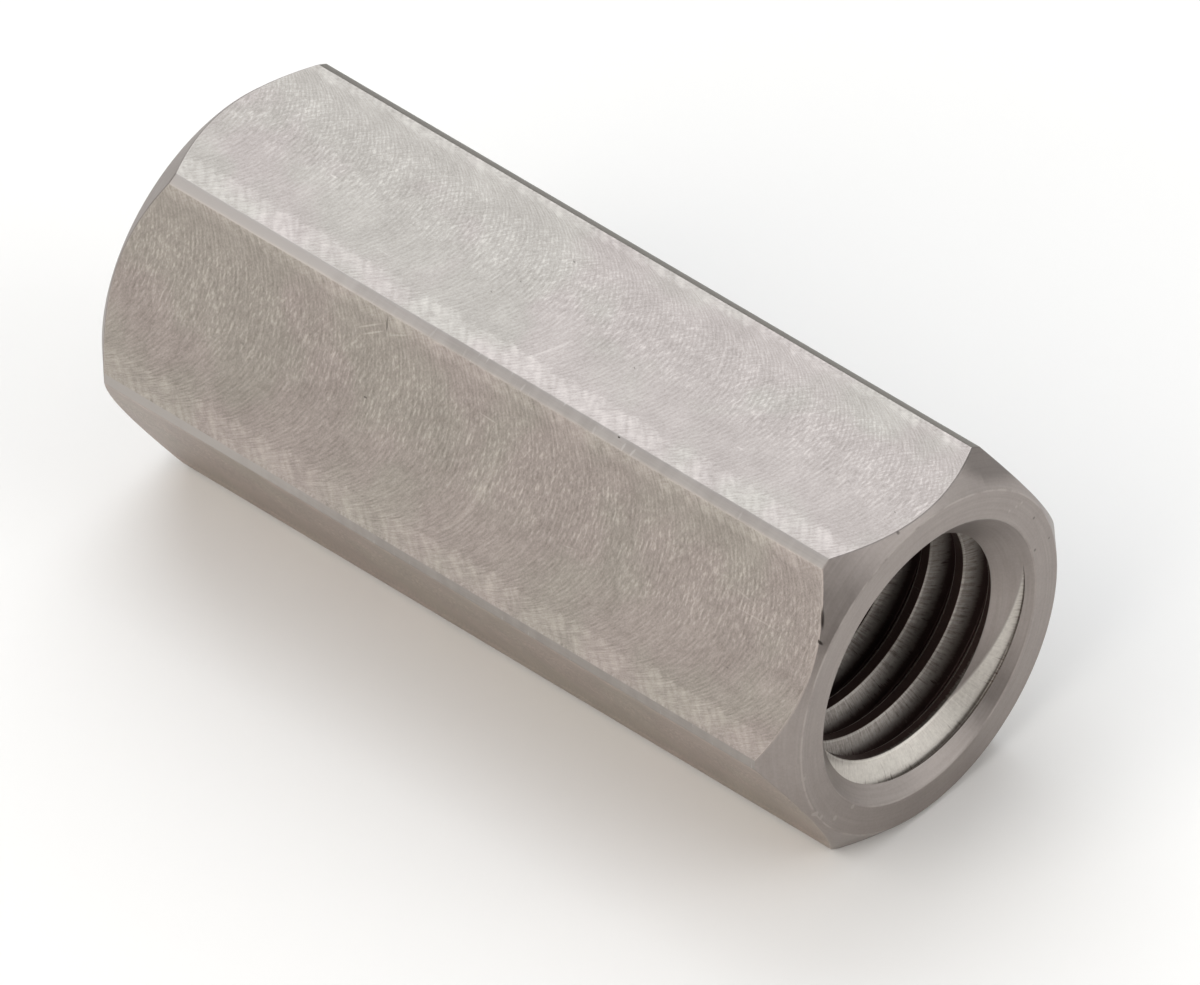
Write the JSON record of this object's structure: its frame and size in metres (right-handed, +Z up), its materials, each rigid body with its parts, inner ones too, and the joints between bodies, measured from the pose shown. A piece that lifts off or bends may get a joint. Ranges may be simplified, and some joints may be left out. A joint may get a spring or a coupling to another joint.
{
  "type": "reducing coupling nut",
  "caption": "Long hexagonal nut with a large internal thread at one end and a smaller one at the other, to join two rods of different size.",
  "frame": {"origin": "centre of the bottom flat, halfway along the nut", "axes": "+X along the nut's axis, out of the end with the large thread; +Z up, out of the top flat"},
  "size_m": [0.0494, 0.0234, 0.0206],
  "materials": {
    "machined_steel": "milled flats, turned ends"
  },
  "bodies": {
    "root": {"coupling_nut": "machined_steel"}
  },
  "joints": []
}
